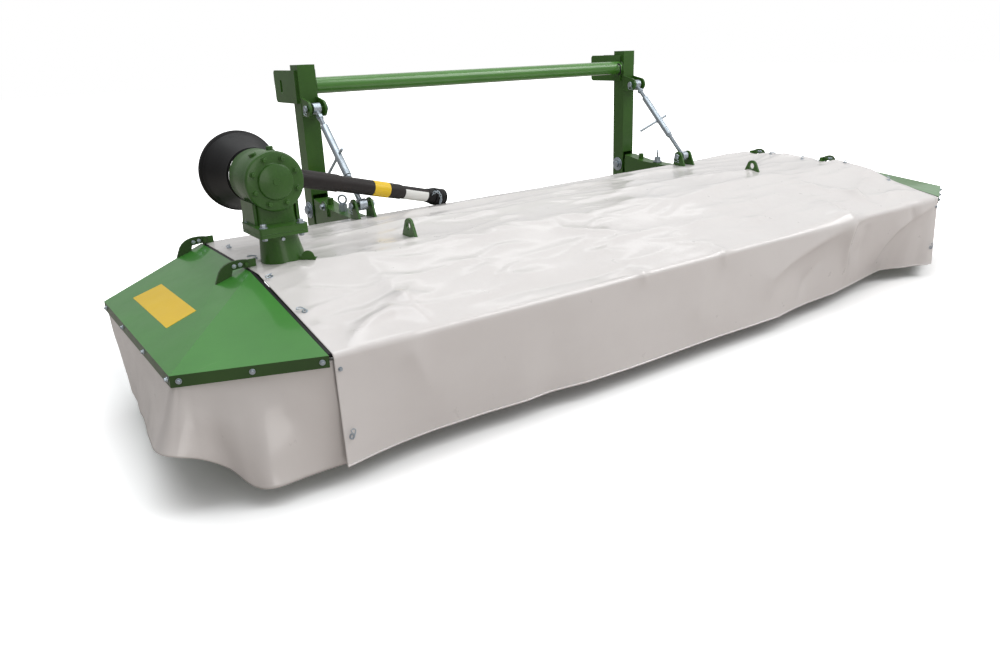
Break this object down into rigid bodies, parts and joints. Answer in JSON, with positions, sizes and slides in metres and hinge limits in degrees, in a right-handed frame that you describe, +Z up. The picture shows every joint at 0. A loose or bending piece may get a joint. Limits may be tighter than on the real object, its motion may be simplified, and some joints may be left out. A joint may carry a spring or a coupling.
{
  "type": "front-mounted disc mower",
  "caption": "Front-mounted disc mower: a cutter bar of oval discs under a cloth-topped guard, hinged end guards, a drive gearbox and a tilting headstock.",
  "frame": {"origin": "on the floor under the middle of the machine's outline, where it stands on its skids", "axes": "+X along the cutter bar, +Y towards the tractor, +Z up"},
  "size_m": [4.057, 1.79, 1.119],
  "materials": {
    "frame_green": "semi-gloss enamel",
    "sheet_green": "semi-gloss enamel on sheet steel",
    "cast_green": "painted casting",
    "white_cloth": "coated cloth",
    "grey_cloth": "heavy coated cloth",
    "black_plastic": "moulded, matt",
    "zinc": "zinc plated",
    "steel": "bare steel, worn",
    "bar_green": "enamel over steel"
  },
  "bodies": {
    "frame": {"main_beam": "frame_green", "left_carrier": "frame_green", "middle_carrier": "frame_green", "right_carrier": "frame_green", "deck": "frame_green", "cutter_bar": "bar_green", "top_cover": "white_cloth", "skid_shoes": "steel", "gearbox_pedestal": "cast_green", "gearbox_housing": "cast_green", "gearbox_front_cover": "cast_green", "drive_cone": "black_plastic", "input_yoke": "steel", "left_lower_arm": "frame_green", "left_turnbuckle_bracket": "frame_green", "left_lifting_lug": "frame_green", "left_front_hinge_ear": "frame_green", "left_rear_hinge_ear": "frame_green", "right_lower_arm": "frame_green", "right_turnbuckle_bracket": "frame_green", "right_lifting_lug": "frame_green", "right_front_hinge_ear": "frame_green", "right_rear_hinge_ear": "frame_green"},
    "disc_1_rotor": {"disc_1": "steel"},
    "disc_2_rotor": {"disc_2": "steel"},
    "disc_3_rotor": {"disc_3": "steel"},
    "disc_4_rotor": {"disc_4": "steel"},
    "disc_5_rotor": {"disc_5": "steel"},
    "disc_6_rotor": {"disc_6": "steel"},
    "disc_7_rotor": {"disc_7": "steel"},
    "disc_8_rotor": {"disc_8": "steel"},
    "drive_shaft": {"shaft_yoke": "steel", "shaft_guard": "black_plastic", "shaft_end": "black_plastic"},
    "headstock": {"left_post": "frame_green", "right_post": "frame_green", "left_pivot_bolt": "zinc", "right_pivot_bolt": "zinc", "cross_tube": "frame_green"},
    "left_turnbuckle": {"left_turnbuckle_barrel": "zinc"},
    "left_tie_rod": {"left_turnbuckle_rod": "zinc"},
    "right_turnbuckle": {"right_turnbuckle_barrel": "zinc"},
    "right_tie_rod": {"right_turnbuckle_rod": "zinc"},
    "front_flap": {"cover_front_tube": "frame_green", "left_cover_arm": "frame_green", "middle_cover_arm": "frame_green", "right_cover_arm": "frame_green", "front_cover": "white_cloth", "front_curtain": "grey_cloth"},
    "left_guard": {"left_end_guard": "sheet_green", "left_end_curtain": "grey_cloth"},
    "right_guard": {"right_end_guard": "sheet_green", "right_end_curtain": "grey_cloth"}
  },
  "joints": [
    {"name": "headstock_tilt", "type": "hinge", "parent": "frame", "child": "headstock", "pos_m": [0, 0.672, 0.487], "axis": [1, 0, 0], "range_deg": [-5, 5]},
    {"name": "left_turnbuckle_swing", "type": "hinge", "parent": "frame", "child": "left_turnbuckle", "pos_m": [-0.9645, 0.205, 0.569], "axis": [1, 0, 0], "range_deg": [-4, 4]},
    {"name": "left_tie_rod_slide", "type": "slide", "parent": "left_turnbuckle", "child": "left_tie_rod", "axis": [0, 0.7061, 0.7081], "range_m": [-0.04, 0.04]},
    {"name": "right_turnbuckle_swing", "type": "hinge", "parent": "frame", "child": "right_turnbuckle", "pos_m": [0.9645, 0.205, 0.569], "axis": [1, 0, 0], "range_deg": [-4, 4]},
    {"name": "right_tie_rod_slide", "type": "slide", "parent": "right_turnbuckle", "child": "right_tie_rod", "axis": [0, 0.7061, 0.7081], "range_m": [-0.04, 0.04]},
    {"name": "front_flap_lift", "type": "hinge", "parent": "frame", "child": "front_flap", "pos_m": [0, -0.33, 0.494], "axis": [-1, 0, 0], "range_deg": [0, 95]},
    {"name": "left_guard_lift", "type": "hinge", "parent": "frame", "child": "left_guard", "pos_m": [-1.606, 0, 0.525], "axis": [0, 1, 0], "range_deg": [0, 90]},
    {"name": "right_guard_lift", "type": "hinge", "parent": "frame", "child": "right_guard", "pos_m": [1.606, 0, 0.525], "axis": [0, -1, 0], "range_deg": [0, 90]},
    {"name": "drive_shaft_lift", "type": "hinge", "parent": "frame", "child": "drive_shaft", "pos_m": [-1.4805, 0.12, 0.778], "axis": [0.1582, -0.9874, 0], "range_deg": [0, 50]},
    {"name": "disc_1_spin", "type": "hinge", "parent": "frame", "child": "disc_1_rotor", "pos_m": [-1.4805, -0.225, 0.09], "axis": [0, 0, 1], "continuous": true},
    {"name": "disc_2_spin", "type": "hinge", "parent": "frame", "child": "disc_2_rotor", "pos_m": [-1.0575, -0.225, 0.09], "axis": [0, 0, 1], "continuous": true},
    {"name": "disc_3_spin", "type": "hinge", "parent": "frame", "child": "disc_3_rotor", "pos_m": [-0.6345, -0.225, 0.09], "axis": [0, 0, 1], "continuous": true},
    {"name": "disc_4_spin", "type": "hinge", "parent": "frame", "child": "disc_4_rotor", "pos_m": [-0.2115, -0.225, 0.09], "axis": [0, 0, 1], "continuous": true},
    {"name": "disc_5_spin", "type": "hinge", "parent": "frame", "child": "disc_5_rotor", "pos_m": [0.2115, -0.225, 0.09], "axis": [0, 0, 1], "continuous": true},
    {"name": "disc_6_spin", "type": "hinge", "parent": "frame", "child": "disc_6_rotor", "pos_m": [0.6345, -0.225, 0.09], "axis": [0, 0, 1], "continuous": true},
    {"name": "disc_7_spin", "type": "hinge", "parent": "frame", "child": "disc_7_rotor", "pos_m": [1.0575, -0.225, 0.09], "axis": [0, 0, 1], "continuous": true},
    {"name": "disc_8_spin", "type": "hinge", "parent": "frame", "child": "disc_8_rotor", "pos_m": [1.4805, -0.225, 0.09], "axis": [0, 0, 1], "continuous": true}
  ],
  "couplings": [
    {"joint": "left_turnbuckle_swing", "follows": "headstock_tilt", "ratio": 0.4786},
    {"joint": "left_tie_rod_slide", "follows": "headstock_tilt", "m_per_rad": -0.3886},
    {"joint": "right_turnbuckle_swing", "follows": "headstock_tilt", "ratio": 0.4786},
    {"joint": "right_tie_rod_slide", "follows": "headstock_tilt", "m_per_rad": -0.3886},
    {"joint": "disc_2_spin", "follows": "disc_1_spin", "ratio": -1},
    {"joint": "disc_3_spin", "follows": "disc_1_spin", "ratio": 1},
    {"joint": "disc_4_spin", "follows": "disc_1_spin", "ratio": -1},
    {"joint": "disc_5_spin", "follows": "disc_1_spin", "ratio": 1},
    {"joint": "disc_6_spin", "follows": "disc_1_spin", "ratio": -1},
    {"joint": "disc_7_spin", "follows": "disc_1_spin", "ratio": 1},
    {"joint": "disc_8_spin", "follows": "disc_1_spin", "ratio": -1}
  ]
}
